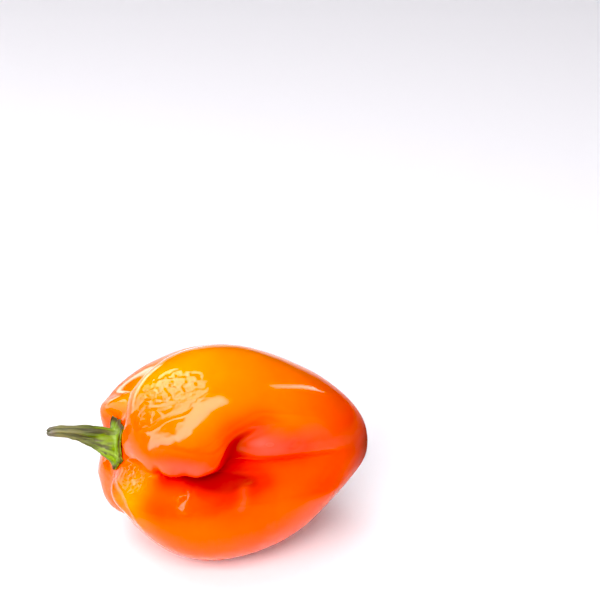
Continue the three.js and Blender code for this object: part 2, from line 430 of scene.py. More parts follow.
@dataclass(frozen=True)
class Lie:
    """How the fruit lies: its slope to the tip, and then the move that puts it where the frame has it."""

    tip_down: float
    move: Array

    @staticmethod
    def lean(points: Array, tip_down: float) -> Array:
        """Returns the points sloped towards the tip."""
        return points @ np.array(Matrix.Rotation(math.radians(tip_down), 3, "Y")).T

    @classmethod
    def of_frame(cls, form: PodForm) -> "Lie":
        """Works out where the pod lies by laying its formula over the CAD pod.

        Args:
            form: the pod's formula.

        Returns:
            The lie that makes their boxes match: middle on middle, and top on top.
        """
        rows, columns = BOX_GRID
        shares, angles = np.meshgrid(np.linspace(0, 1, rows), np.linspace(0, TURN, columns))
        points = cls.lean(form.skin(shares.ravel(), angles.ravel())[0], form.tip_down)
        low, high = (np.array(corner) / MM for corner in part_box("pod"))
        middle = (low + high - points.min(0) - points.max(0)) / 2
        return cls(form.tip_down, np.array([middle[0], middle[1], high[2] - points[:, 2].max()]))

    def place(self, points: Array) -> Array:
        """Returns points of the growing frame where the lying fruit has them, in millimetres."""
        return self.lean(points, self.tip_down) + self.move


# ---- Meshes


def add_object(name: str, data: ID) -> Object:
    """Adds an object to the scene.

    Args:
        name: its name.
        data: its mesh, lamp or camera.

    Returns:
        The object.
    """
    made = bpy.data.objects.new(name, data)
    bpy.context.scene.collection.objects.link(made)
    return made


@dataclass
class Blank:
    """A ball of rows and columns that is shaped into a piece by moving its points."""

    name: str
    rows: int
    columns: int
    bm: bmesh.types.BMesh = field(default_factory=bmesh.new)
    # how far off its row or column a point may be, as a share of their spacing
    rounding: float = 0.25

    def __post_init__(self) -> None:
        """Makes the ball in a fixed order, and notes each point's row, from 0 to 1, and turn."""
        bmesh.ops.create_uvsphere(self.bm, u_segments=self.columns, v_segments=self.rows, radius=1)
        self.bm.verts.sort(key=lambda vert: self.order(vert.co))
        self.bm.faces.sort(key=lambda face: self.order(face.calc_center_median()))
        ball = np.array([v.co for v in self.bm.verts])
        self.row = np.arccos(np.clip(ball[:, 2], -1, 1)) / math.pi
        self.turn = np.arctan2(ball[:, 1], ball[:, 0]) % TURN

    def order(self, place: Vector) -> float:
        """Numbers the ball's points and faces, which are made in a different order on each run.

        Args:
            place: a point's or a face's middle.

        Returns:
            A number that rises from row to row, and round each of them.
        """
        row = place.angle(Vector((0, 0, 1))) / math.pi * self.rows
        turn = math.atan2(place.y, place.x) / TURN * self.columns
        return int(row + self.rounding) * self.columns + (turn + self.rounding) % self.columns

    def shape(self, points: Array) -> None:
        """Moves every point to its place and turns the faces outwards.

        Args:
            points: the places, in millimetres.
        """
        for vert, point in zip(self.bm.verts, points * MM):
            vert.co = point
        self.bm.normal_update()
        bmesh.ops.recalc_face_normals(self.bm, faces=self.bm.faces)
        if self.bm.calc_volume(signed=True) < 0:
            bmesh.ops.reverse_faces(self.bm, faces=self.bm.faces)
        for face in self.bm.faces:
            face.smooth = True

    def finish(self, material: Material, masks: dict[Mask, Array]) -> Object:
        """Makes the object.

        Args:
            material: its material.
            masks: the values for its points that the material reads.

        Returns:
            The object, which sits at the origin.
        """
        mesh = bpy.data.meshes.new(self.name)
        self.bm.to_mesh(mesh)
        self.bm.free()
        for mask, values in masks.items():
            stored = mesh.attributes.new(mask.value, "FLOAT", "POINT")
            stored.data.foreach_set("value", values.astype(np.float32))
        mesh.materials.append(material)
        return add_object(self.name, mesh)


# ---- Materials


def srgb(red: int, green: int, blue: int) -> tuple[float, float, float, float]:
    """Returns a colour given as it shows on screen, 0 to 255, in the linear values of a shader."""
    linear = [((c / 255 + 0.055) / 1.055) ** 2.4 if c > 10 else c / 255 / 12.92 for c in (red, green, blue)]
    return (*linear, 1.0)


class Sheet:
    """The node tree of a material or a group, with short ways to add to it."""

    def __init__(self, tree: NodeTree) -> None:
        """Keeps the tree."""
        self.tree = tree

    def node(self, kind: str, values: dict | None = None, **settings: object) -> Node:
        """Adds a node.

        Args:
            kind: the node's type, without its ShaderNode prefix.
            values: what to set or link its inputs to, by name or number.
            settings: the node's own properties.

        Returns:
            The node.
        """
        made = self.tree.nodes.new("ShaderNode" + kind)
        for name, value in settings.items():
            setattr(made, name, value)
        for key, value in (values or {}).items():
            if isinstance(value, NodeSocket):
                self.tree.links.new(value, made.inputs[key])
            else:
                made.inputs[key].default_value = value
        return made

    def math(self, operation: str, *inputs: object) -> NodeSocket:
        """Returns the result of a sum on sockets or numbers."""
        return self.node("Math", dict(enumerate(inputs)), operation=operation).outputs[0]

    def mask(self, mask: Mask) -> NodeSocket:
        """Returns a piece's own value, stored with its points."""
        return self.node("Attribute", attribute_name=mask.value, attribute_type="GEOMETRY").outputs["Fac"]

    def mix(self, share: object, first: object, second: object) -> NodeSocket:
        """Returns two colours mixed by a share; the node has its colour sockets after those for numbers."""
        return self.node("Mix", {0: share, 6: first, 7: second}, data_type="RGBA").outputs[2]

    def ramp(self, value: object, stops: tuple, smooth: bool = True) -> NodeSocket:
        """Reads a colour from a ramp.

        Args:
            value: where to read it.
            stops: the ramp's places, each with its colour.
            smooth: whether the colours ease into each other.

        Returns:
            The colour's socket.
        """
        made = self.node("ValToRGB", {0: value})
        made.color_ramp.interpolation = "EASE" if smooth else "LINEAR"
        elements = made.color_ramp.elements
        while len(elements) < len(stops):
            elements.new(0.5)
        for element, (place, colour) in zip(elements, stops):
            element.position = place
            element.color = colour
        return made.outputs[0]


def mottle_group() -> ShaderNodeTree:
    """Makes the group for natural mottling, which both the skin and the stalk use.

    Returns:
        The group: size and stretch along X in, an uneven value about 0.5 and a finer one out.
    """
    group = bpy.data.node_groups.new("natural_mottle", "ShaderNodeTree")
    for name, value in (("Scale", 200.0), ("Stretch", 1.0)):
        socket = group.interface.new_socket(name, in_out="INPUT", socket_type="NodeSocketFloat")
        socket.default_value = value
    for name in ("Broad", "Fine"):
        group.interface.new_socket(name, in_out="OUTPUT", socket_type="NodeSocketFloat")
    sheet = Sheet(group)
    given = group.nodes.new("NodeGroupInput").outputs
    place = sheet.node("TexCoord").outputs["Object"]
    across = sheet.node("CombineXYZ", {0: given["Stretch"], 1: 1.0, 2: 1.0}).outputs[0]
    stretched = sheet.node("VectorMath", {0: place, 1: across}, operation="MULTIPLY").outputs[0]
    broad = sheet.node("TexNoise", {
        "Vector": stretched, "Scale": given["Scale"], "Detail": 3.0, "Distortion": 0.3})
    finer = sheet.math("MULTIPLY", given["Scale"], 5.0)
    fine = sheet.node("TexNoise", {"Vector": stretched, "Scale": finer, "Detail": 2.0})
    result = group.nodes.new("NodeGroupOutput")
    for name, made in (("Broad", broad), ("Fine", fine)):
        group.links.new(made.outputs[0], result.inputs[name])
    return group


class Finish:
    """A material for one of the scene's surfaces."""

    name: str
    patch_scale: float
    patch_depth: float

    def __init__(self, mottle: ShaderNodeTree) -> None:
        """Keeps the shared mottling group."""
        self.mottle = mottle

    def make(self) -> Material:
        """Makes the material and its nodes.

        Returns:
            The material.
        """
        material = bpy.data.materials.new(self.name)
        material.use_nodes = True
        material.node_tree.nodes.clear()
        sheet = Sheet(material.node_tree)
        sheet.node("OutputMaterial", {"Surface": self.shade(sheet)})
        return material

    def mottling(self, sheet: Sheet, scale: float, stretch: float = 1.0) -> Node:
        """Adds the shared mottling at this finish's own size.

        Args:
            sheet: the material's nodes.
            scale: how many patches to the metre.
            stretch: below 1, patches are longer along X.

        Returns:
            The group's node.
        """
        made = sheet.node("Group", node_tree=self.mottle)
        for name, value in (("Scale", scale), ("Stretch", stretch)):
            made.inputs[name].default_value = value
        return made

    def unevenness(self, sheet: Sheet) -> NodeSocket:
        """Returns an uneven value about 0, in patches of this finish's own size and depth."""
        patches = self.mottling(sheet, self.patch_scale)
        return sheet.math("MULTIPLY_ADD", patches.outputs["Broad"], self.patch_depth, -self.patch_depth / 2)

    def shade(self, sheet: Sheet) -> NodeSocket:
        """Adds the finish's own nodes and returns the shader."""
        raise NotImplementedError


class WaxySkin(Finish):
    """The pod's skin: thin, waxy and very glossy over bright flesh, redder as it ripens, with painted shade, a
    painted lit top and a pale pink painted sheen in its colour.
    """

    name = "waxy_skin"
    # yellow-orange to deep red; the deep reds also stand for painted shade in the crease and the fold
    ripening_and_painted_light = (
        (0.0, srgb(238, 132, 0)), (0.3, srgb(232, 102, 0)), (0.5, srgb(226, 77, 0)), (0.72, srgb(196, 53, 0)),
        (1.0, srgb(146, 42, 0)),
    )
    patch_scale = 90
    patch_depth = 0.16
    pore_scale = 900
    painted_sheen_cover = 0.5
    # a pale pink painted sheen: painted reflections and a painted highlight; the coat is rougher there too
    painted_sheen_colour = srgb(226, 116, 118)
    coat_roughness = 0.12
    sheen_roughness = 0.4

    def shade(self, sheet: Sheet) -> NodeSocket:
        """Adds the skin's nodes.

        Args:
            sheet: the material's nodes.

        Returns:
            The shader's socket.
        """
        # ripeness together with painted shade in the crease, the fold and at the tip, and a painted lit top
        ripeness_and_painted_light = sheet.math("ADD", sheet.mask(Mask.RIPENESS_AND_PAINTED_LIGHT), self.unevenness(sheet))
        skin_tone = sheet.ramp(ripeness_and_painted_light, self.ripening_and_painted_light, smooth=False)
        # the pale pink painted sheen, mixed into the colour, also makes the coat rougher
        painted_sheen = sheet.mask(Mask.BLOOM)
        colour = sheet.mix(sheet.math("MULTIPLY", painted_sheen, self.painted_sheen_cover), skin_tone, self.painted_sheen_colour)
        hazy = sheet.math("MULTIPLY_ADD", painted_sheen, self.sheen_roughness, self.coat_roughness)
        pores = self.mottling(sheet, self.pore_scale)
        waves = sheet.node("Bump", {"Height": pores.outputs["Broad"], "Strength": 0.05, "Distance": 0.0002})
        return sheet.node("BsdfPrincipled", {
            "Base Color": colour, "Roughness": 0.4, "Normal": waves.outputs[0], "Specular IOR Level": 0.0,
            "Subsurface Weight": 0.12, "Subsurface Radius": (1.0, 0.25, 0.05), "Subsurface Scale": 0.002,
            "Coat Weight": sheet.mask(Mask.GLOSS), "Coat Roughness": hazy, "Coat IOR": 1.33,
        }).outputs[0]


class DryStalk(Finish):
    """The stalk: fibrous green, drying to grey-brown at its cut end, dark at the cap's margin, with painted
    shade in the grooves between its ribs.
    """

    name = "fibrous_green_stalk"
    drying = (
        (0.0, srgb(102, 130, 2)), (0.3, srgb(56, 70, 2)), (0.62, srgb(88, 84, 46)),
        (0.82, srgb(78, 66, 64)), (0.94, srgb(68, 58, 62)), (1.0, srgb(44, 38, 40)),
    )
    fibre_scale = 700
    fibre_stretch = 0.12
    patch_scale = 350
    patch_depth = 0.3
    # painted shade in the grooves between the stem's ribs
    furrow_shade_colour = srgb(32, 33, 14)
    strand_contrast = (1.6, -0.5)
    strand_cover = 0.32
    strand_colour = srgb(176, 176, 130)
    edge_raggedness = 2.5
    edge_colour = srgb(60, 42, 20)

    def shade(self, sheet: Sheet) -> NodeSocket:
        """Adds the stalk's nodes.

        Args:
            sheet: the material's nodes.

        Returns:
            The shader's socket.
        """
        fibres = self.mottling(sheet, self.fibre_scale, stretch=self.fibre_stretch)
        uneven = self.unevenness(sheet)
        dryness = sheet.math("ADD", sheet.mask(Mask.DRYNESS), uneven)
        body = sheet.ramp(dryness, self.drying)
        # dark painted shade in the grooves between the ribs
        lined = sheet.mix(sheet.mask(Mask.FURROW_SHADE), body, self.furrow_shade_colour)
        strands = sheet.math("MULTIPLY_ADD", fibres.outputs["Broad"], *self.strand_contrast)
        streaked = sheet.mix(sheet.math("MULTIPLY", strands, self.strand_cover), lined, self.strand_colour)
        ragged = sheet.math("MULTIPLY", uneven, self.edge_raggedness)
        edge = sheet.math("ADD", sheet.mask(Mask.MARGIN), ragged)
        colour = sheet.mix(sheet.math("SMOOTH_MIN", edge, 1.0, 0.1), streaked, self.edge_colour)
        grain = sheet.node("Bump", {"Height": fibres.outputs["Fine"], "Strength": 0.4, "Distance": 0.0002})
        return sheet.node("BsdfPrincipled", {
            "Base Color": colour, "Roughness": 0.55, "Normal": grain.outputs[0], "Specular IOR Level": 0.25,
            "Subsurface Weight": 0.08, "Subsurface Radius": (0.4, 0.8, 0.1), "Subsurface Scale": 0.0006,
        }).outputs[0]


class PaleFloor(Finish):
    """The plain pale floor."""

    name = "pale_floor"

    def shade(self, sheet: Sheet) -> NodeSocket:
        """Adds the floor's nodes and returns the shader."""
        return sheet.node("BsdfPrincipled", {"Base Color": srgb(232, 229, 234), "Roughness": 0.6}).outputs[0]


# ---- The pieces


class Places(NamedTuple):
    """Places on the skin: share of the outline, angle, and mm from the axis and above the crease."""

    share: Array
    angle: Array
    radius: Array
    above: Array


@dataclass
class Pod:
    """The pod: its skin in full, with the lip that hangs over the crease, wrinkles, puckers and bumps."""

    form: PodForm
    lie: Lie
    rows: int = 270
    columns: int = 360
    row_spread: Pairs = ((0, 0), (0.14, 0.15), (0.78, 0.65), (1, 1))
    crowding: float = 0.5
    crowded_at: float = 35
    lip: Pairs = ((0.28, 0), (0.36, 0.5), (0.44, 1.1), (0.52, 1.1), (0.56, 0.4), (0.6, 0))
    lip_above: float = 1.4
    lip_half_width: float = 1.3
    mark_steps: int = 6
    mark_reach: float = 4
    mark_radius: float = 8
    mark_taper: float = 0.2
    marks: tuple[Mark, ...] = (
        # the ridge below the wrinkled patch, and a shorter one above it
        Mark(
            ((0.337, 40), (0.368, 41), (0.4, 42), (0.42, 44), (0.449, 46), (0.479, 48), (0.505, 56)),
            0.45, 0.24,
        ),
        Mark(((0.345, 48), (0.37, 52), (0.4, 53.5), (0.43, 52), (0.46, 53)), 0.4, 0.2),
        # the ring and the curls at the wrinkled patch's low end
        Mark(
            ((0.394, 46), (0.407, 51), (0.42, 49), (0.426, 46), (0.414, 43), (0.396, 43), (0.394, 46)),
            0.33, 0.2,
        ),
        Mark(((0.367, 57), (0.383, 60), (0.402, 57), (0.395, 54), (0.38, 55)), 0.33, 0.2),
        Mark(((0.35, 44), (0.362, 47), (0.38, 46), (0.384, 43)), 0.3, 0.16),
        # the puckers that the crease draws in under it
        Mark(((0.466, 4), (0.471, -4), (0.476, -14)), 0.9, 0.45),
        Mark(((0.579, 10), (0.582, 2), (0.584, -4)), 0.8, 0.4),
        Mark(((0.552, 14), (0.556, -4)), 3, -0.6),
        # the crease's thin end, and a nick above it
        Mark(((0.56, 22), (0.6, 20.5), (0.644, 21), (0.71, 22), (0.77, 22)), 0.4, -0.35),
        Mark(((0.649, 26), (0.657, 29), (0.664, 32)), 0.35, -0.25),
        # the fold between the lower front lobe and the one behind it
        Mark(((0.12, -44), (0.2, -39), (0.27, -34), (0.33, -38), (0.41, -49)), 1.5, -0.6),
        Mark(((0.12, -35), (0.19, -33), (0.283, -25), (0.355, -31), (0.437, -41)), 0.9, 0.3),
    )
    bumps: tuple[Swelling, ...] = swellings_of(
        (0.355, 22, 0.05, 10, 0.5), (0.48, -9, 0.022, 3.6, 0.36), (0.37, 3, 0.012, 2.4, 0.16),
        (0.512, 10.5, 0.004, 0.9, 0.12), (0.52, 9, 0.004, 0.9, 0.12), (0.452, 4, 0.004, 0.9, 0.1),
        # the lip's notch and the swellings beside it
        (0.375, 10, 0.014, 5, -1.2), (0.34, 11, 0.02, 4, 0.3), (0.42, 12, 0.024, 5, 0.7),
        (0.463, 12, 0.012, 4.5, -0.6), (0.488, 14, 0.014, 4.5, 0.55), (0.525, 0, 0.035, 7, 0.35),
    )
    crumples: tuple[Crumple, ...] = (
        Crumple(0.44, 66, 0.07, 11, 1.7, 0.18),
        Crumple(0.48, 62, 0.05, 11, 0.9, 0.09),
        Crumple(0.375, 53, 0.03, 6, 0.9, 0.05),
        Crumple(0.25, -8, 0.085, 14, 1.1, 0.24),
        Crumple(0.42, 33, 0.09, 12, 2.6, 0.022),
        Crumple(0.467, -4, 0.016, 9, 0.9, 0.13),
    )
    crumple_edge: Pair = (1.25, 0.5)
    crumple_seed: float = 0.7
    crumple_octaves: int = 3
    crumple_folds: Pair = (0.5, 2)
    calm_seat: Pair = (0.12, 0.2)
    shoulder_fade: Pair = (0.28, 0.4)
    broad_lumps: Triple = (0.12, 9, 3.1)
    fine_lumps: Triple = (0.06, 2.4, 7.7)
    dull_span: tuple[float, float, float, float] = (0.3, 0.37, 0.7, 0.84)
    dull_start: Pair = (-1.1, -0.3)
    dull_fade: Pair = (7, 10)
    dull_tip: Triple = (0.7, 0.94, 0.9)
    glints: tuple[Mark, ...] = (
        Mark(((0.462, 4), (0.467, -3), (0.475, -14)), 0.9, 1),
        Mark(((0.58, 10), (0.583, 2), (0.586, -5)), 0.8, 0.3),
    )
    # painted reflection along the lip's underside, and a painted highlight streak down a pucker
    painted_sheen_lines: tuple[Mark, ...] = (
        Mark(((0.28, 10), (0.35, 14), (0.4, 16), (0.45, 17), (0.49, 17), (0.515, 21)), 1.1, 0.3),
        Mark(((0.573, 8), (0.571, 4), (0.575, 0), (0.572, -4), (0.576, -8)), 0.6, 0.26),
    )
    # painted sheen above the crease's thin end
    painted_sheen_patches: tuple[Swelling, ...] = swellings_of(
        (0.61, 29, 0.04, 9, 0.34), (0.68, 32, 0.06, 12, 0.2), (0.75, 32, 0.05, 11, 0.2),
    )
    painted_sheen_start: Pair = (-0.2, 0.6)
    # the tone's starting value; the tip is made redder, partly ripeness and partly painted shade
    skin_tone: float = 0.47
    tip_span: Pair = (0.82, 1)
    tip_redness: float = 0.5
    # redder along the crease, in the fold's valley, in the hollow and at the tip: ripeness and painted shade
    # there; yellower on the top and the back: the skin's colour and a painted lit top
    blushes_and_painted_light: tuple[Swelling, ...] = swellings_of(
        (0.43, 93, 0.14, 30, -0.62), (0.5, 45, 0.1, 20, -0.08), (0.31, -22, 0.09, 24, -0.3),
        (0.41, -14, 0.05, 9, 0.2), (0.6, 40, 0.03, 9, 0.2), (0.49, 5, 0.055, 6, 0.4), (0.4, 3, 0.04, 6, 0.4),
        (0.455, 18, 0.09, 9, 0.26), (0.48, 10, 0.06, 3.5, 0.4), (0.63, 24, 0.06, 8, 0.28),
        (0.552, 9, 0.045, 9, 0.4), (0.562, 30, 0.032, 11, 0.45), (0.52, -6, 0.06, 8, 0.14),
        (0.6, 9, 0.04, 6, 0.2), (0.6, -25, 0.2, 30, 0.05), (0.67, 31, 0.1, 10, 0.18),
        (0.62, 85, 0.14, 45, -0.22), (0.3, 120, 0.1, 30, -0.25), (0.91, 20, 0.11, 60, 0.4),
    )

    def build(self, finish: Material) -> Object:
        """Makes the pod.

        Args:
            finish: the skin's material.

        Returns:
            The pod's object.
        """
        blank = Blank("pod_skin", self.rows, self.columns)
        share = table(self.row_spread, blank.row)
        angle = math.radians(self.crowded_at) + blank.turn - self.crowding * np.sin(blank.turn)
        points, outward = self.form.skin(share, angle)
        radius = self.form.plain(share, angle)[1]
        places = Places(share, angle, radius, self.form.off_crease(share, angle, radius))
        slump = table(self.lip, share) * hump(places.above - self.lip_above, self.lip_half_width)
        points[:, 1] -= slump * np.sin(angle)
        points[:, 2] -= slump * np.cos(angle)
        height = self.unevenness(places, points) + swell(self.bumps, share, angle)
        height += self.lines(self.marks, places) + self.wrinkles(places, points)
        lying = self.lie.place(points + outward * height[:, None])
        lying[:, 2] = np.maximum(lying[:, 2], 0)
        blank.shape(lying)
        return blank.finish(finish, {
            Mask.RIPENESS_AND_PAINTED_LIGHT: self.ripeness_and_painted_light(places),
            Mask.GLOSS: self.gloss(places),
            Mask.BLOOM: self.painted_sheen(places),
        })

    def lines(self, marks: tuple[Mark, ...], places: Places) -> Array:
        """Adds up raised and sunk lines, each of which tapers at both ends unless it is a ring.

        Args:
            marks: the lines.
            places: the places on the skin.

        Returns:
            The height at each place, in millimetres.
        """
        height = np.zeros_like(places.share)
        place = places.share * self.form.outline_length
        for mark in marks:
            route = spline(np.array(mark.route, float), np.linspace(0, 1, self.mark_steps * len(mark.route)))
            route = route * (self.form.outline_length, math.radians(1))
            reach = self.mark_reach * mark.half_width
            middle = route[:, 1].mean()
            spread = np.ptp(route[:, 1]) / 2 + reach / self.mark_radius
            near = (place > route[:, 0].min() - reach) & (place < route[:, 0].max() + reach)
            near &= np.abs(turn_between(middle, places.angle)) < spread
            near = np.flatnonzero(near)
            nearest, part = np.full(len(near), np.inf), np.zeros(len(near))
            for k, (start, end) in enumerate(zip(route, route[1:])):
                along = place[near] - start[0]
                sideways = turn_between(start[1], places.angle[near]) * places.radius[near]
                step = end[0] - start[0]
                step_sideways = (end[1] - start[1]) * places.radius[near]
                t = (along * step + sideways * step_sideways) / (step**2 + step_sideways**2 + TINY)
                t = np.clip(t, 0, 1)
                off = np.hypot(along - t * step, sideways - t * step_sideways)
                part = np.where(off < nearest, (k + t) / (len(route) - 1), part)
                nearest = np.minimum(off, nearest)
            closed = mark.route[0] == mark.route[-1]
            ends = 1 if closed else ease(np.minimum(part, 1 - part), 0, self.mark_taper)
            height[near] += mark.height * hump(nearest, mark.half_width) * ends
        return height

    def wrinkles(self, places: Places, points: Array) -> Array:
        """Adds up the crumpled patches.

        Args:
            places: the places on the skin.
            points: where they are.

        Returns:
            The height at each place, in millimetres.
        """
        height = np.zeros_like(places.share)
        edge, fade = self.crumple_edge
        crest, steepness = self.crumple_folds
        for number, patch in enumerate(self.crumples):
            off = turn_between(math.radians(patch.angle), places.angle) / math.radians(patch.round)
            inside = ease(edge - np.hypot((places.share - patch.at) / patch.along, off), 0, fade)
            near = np.flatnonzero(inside)
            uneven = lumps(points[near], patch.grain, number + self.crumple_seed, self.crumple_octaves)
            height[near] += patch.height * inside[near] * (crest - steepness * np.abs(uneven))
        return height

    def unevenness(self, places: Places, points: Array) -> Array:
        """Makes natural bumps: broad ones all over and finer ones on the shoulders.

        Args:
            places: the places on the skin.
            points: where they are.

        Returns:
            The height at each place, in millimetres.
        """
        calm = ease(places.share, *self.calm_seat)
        shoulder = calm * (1 - ease(places.share, *self.shoulder_fade))
        broad_height, broad_size, broad_seed = self.broad_lumps
        fine_height, fine_size, fine_seed = self.fine_lumps
        broad = broad_height * calm * lumps(points, broad_size, broad_seed)
        return broad + fine_height * shoulder * lumps(points, fine_size, fine_seed)

    def gloss(self, places: Places) -> Array:
        """Finds how glossy the skin is.

        Args:
            places: the places on the skin.

        Returns:
            1, but less at the tip and, bar the puckers, under the crease.
        """
        starts, whole, eases, ends = self.dull_span
        strip = ease(places.share, starts, whole) * (1 - ease(places.share, eases, ends))
        strip = strip * ease(-places.above, *self.dull_start) * (1 - ease(-places.above, *self.dull_fade))
        tip_from, tip_whole, tip_dullness = self.dull_tip
        glossy = 1 - strip - tip_dullness * ease(places.share, tip_from, tip_whole)
        return np.clip(glossy + self.lines(self.glints, places), 0, 1)

    def painted_sheen(self, places: Places) -> Array:
        """Returns how thick the pale pink painted sheen lies, which also makes the coat rougher: a painted
        reflection on the lip's underside, a painted highlight streak on a pucker and a painted sheen above the
        crease's thin end.
        """
        sheen_patch = swell(self.painted_sheen_patches, places.share, places.angle) * ease(places.above, *self.painted_sheen_start)
        return np.clip(sheen_patch + self.lines(self.painted_sheen_lines, places), 0, 1)

    def ripeness_and_painted_light(self, places: Places) -> Array:
        """Returns the skin's tone: 0 where it is yellow-orange and 1 where it is red, from ripeness and from
        painted shade and a painted lit top.
        """
        tint_and_painted_light = swell(self.blushes_and_painted_light, places.share, places.angle)
        return self.skin_tone + tint_and_painted_light + self.tip_redness * ease(places.share, *self.tip_span)


class Tooth(NamedTuple):
    """A tooth of the green cap: its angle, half width, extra reach as a share, and how far its end lifts."""

    angle: float
    width: float
    reach: float
    lift: float


class Wave(NamedTuple):
    """A wave round the stalk: how many to a turn, its shift, its drift along the stalk and its strength."""

    count: int
    shift: float
    drift: float
    strength: float


def ripple(waves: tuple[Wave, ...], angle: Array, along: Array | float = 0.0) -> Array:
    """Returns the sum of waves round the stalk."""
    return sum(w.strength * np.cos(w.count * angle + w.shift + w.drift * along) for w in waves)


@dataclass
class Stalk:
    """The stalk: the toothed green cap in the pod's seat and the ribbed stem that curves up out of it."""

    form: PodForm
    lie: Lie
    rows: int = 220
    columns: int = 120
    length: float = 13.9
    cap_reach: float = 0.125
    seat_gap: float = 0.15
    cap_thickness: float = 0.55
    tooth_base: float = 0.1
    raggedness: float = 0.08
    rags: tuple[Wave, ...] = (Wave(11, 1, 0, 0.5), Wave(17, 2, 0, 0.5), Wave(29, 0, 0, 0.5))
    ribs: tuple[Wave, ...] = (Wave(5, 0, 0, 0.5), Wave(8, 2, 0, 0.3), Wave(13, 0, 4, 0.35))
    twist: float = 1.2
    rib_height: float = 0.17
    strand_strength: float = 0.8
    strand_stretch: float = 0.1
    strand_lumps: Pair = (0.36, 1.9)
    bump_height: float = 0.12
    bump_lumps: Pair = (0.8, 5.3)
    bumps_start: Pair = (0.12, 0.2)
    stem_start: Pair = (-0.12, 0.08)
    stem_end: Pair = (0.93, 0.97)
    dry_from: float = -0.05
    furrow_shade_span: Pair = (-0.05, 0.4)
    rim_ring: float = 4.1
    rim_width: float = 0.05
    rim_strength: float = 1.1
    rim_darkness: Triple = (0.55, 2, 0.3)
    dried_side: Pair = (-75, 35)
    cap_rows: Pairs = ((0, 0), (0.5, 0), (0.94, 0), (1, 0.3), (0.98, 0.75), (0.86, 1.1), (0.74, 1.6))
    stem_rows: Pairs = (
        (0.16, 2.95), (0.22, 2.7), (0.29, 2.4), (0.36, 2.1), (0.44, 1.8), (0.65, 1.22), (0.83, 0.98),
        (0.93, 0.88), (0.965, 0.76), (0.988, 0.5), (1, 0.2), (1, 0),
    )
    stem_rise: Pairs = ((0, 0.2), (0.15, 0.7), (0.29, 1.65), (0.44, 2.5), (0.65, 3.2), (0.83, 3.45), (1, 3.3))
    teeth: tuple[Tooth, ...] = (
        Tooth(118, 24, 0.34, 0.5), Tooth(60, 28, 0.45, 0), Tooth(0, 22, 0.15, 0), Tooth(-80, 20, -0.04, 0),
        Tooth(-160, 22, 0.16, 0.2),
    )

    def tooth_share(self, angle: Array, name: str) -> Array:
        """Adds up a property of the teeth.

        Args:
            angle: the angles round the cap.
            name: the property's name.

        Returns:
            The sum at each angle.
        """
        total = np.zeros_like(angle)
        for tooth in self.teeth:
            off = turn_between(math.radians(tooth.angle), angle) / math.radians(tooth.width)
            total += getattr(tooth, name) * hump(off, 1)
        return total

    def cap_ring(self, reach: float, height: float, angle: Array) -> Array:
        """Makes a ring of the cap, which follows the pod's skin.

        Args:
            reach: how far out it lies, as a share of the cap's reach.
            height: how high, in thicknesses of the cap.
            angle: its points' angles.

        Returns:
            The ring's points.
        """
        ragged = self.raggedness * ripple(self.rags, angle)
        longer = self.tooth_share(angle, "reach") - self.tooth_base + ragged
        share = self.cap_reach * reach * (1 + longer * reach**3)
        raised = self.seat_gap + height * self.cap_thickness
        raised = raised + self.tooth_share(angle, "lift") * reach**4
        return self.form.skin(share, angle)[0] + self.form.normal(share, angle) * raised[:, None]

    def stem_ring(self, length: float, radius: float, angle: Array) -> Array:
        """Makes a ring of the stem.

        Args:
            length: how far up it lies, as a share.
            radius: its radius, in millimetres.
            angle: its points' angles.

        Returns:
            The ring's points.
        """
        x = np.full_like(angle, self.form.crest_line[0][0] * self.form.length - length * self.length)
        rise = table(self.stem_rise, np.array([length]))[0]
        return np.stack([x, -radius * np.cos(angle), radius * np.sin(angle) + rise], -1)

    def build(self, finish: Material) -> Object:
        """Makes the stalk.

        Args:
            finish: the stalk's material.

        Returns:
            The stalk's object.
        """
        blank = Blank("stalk", self.rows, self.columns)
        angles = np.arange(self.columns) * TURN / self.columns
        rings = [self.cap_ring(*row, angles) for row in self.cap_rows]
        rings += [self.stem_ring(*row, angles) for row in self.stem_rows]
        surface = spline(np.array(rings), np.linspace(0, 1, self.rows + 1))
        along = np.linspace(0, 1, self.rows + 1)[:, None]
        foot = len(self.cap_rows) / (len(rings) - 1)
        starts, whole = self.stem_start
        on_stem = ease(along, foot + starts, foot + whole) * (1 - ease(along, *self.stem_end))
        on_cap = ease(along, *self.bumps_start) * (1 - on_stem)
        strands = self.grain(surface * (self.strand_stretch, 1, 1), *self.strand_lumps)
        ribs = ripple(self.ribs, angles[None, :] + self.twist * along, along) + self.strand_strength * strands
        bumps = self.grain(surface, *self.bump_lumps)
        rim = self.rim_strength * hump((along - self.rim_ring / (len(rings) - 1)) / self.rim_width, 1)
        masks = {
            Mask.DRYNESS: ease(along, foot + self.dry_from, 1) + 0 * angles[None, :],
            # painted shade in the grooves between the ribs
            Mask.FURROW_SHADE: on_stem * ease(-ribs, *self.furrow_shade_span),
            Mask.MARGIN: rim * self.rim_share(angles)[None, :],
        }
        down = np.gradient(surface, axis=0)
        sideways = np.roll(surface, -1, axis=1) - np.roll(surface, 1, axis=1)
        outward = unit(np.cross(sideways, down))
        height = self.rib_height * on_stem * ribs + self.bump_height * on_cap * bumps
        surface = surface + outward * height[..., None]
        row = np.rint(blank.row * self.rows).astype(int)
        column = np.rint(blank.turn / TURN * self.columns).astype(int) % self.columns
        blank.shape(self.lie.place(surface[row, column]))
        return blank.finish(finish, {mask: values[row, column] for mask, values in masks.items()})

    @staticmethod
    def grain(surface: Array, size: float, seed: float) -> Array:
        """Returns random lumps, size millimetres across, for each point of the rings."""
        return lumps(surface.reshape(-1, 3), size, seed).reshape(surface.shape[:2])

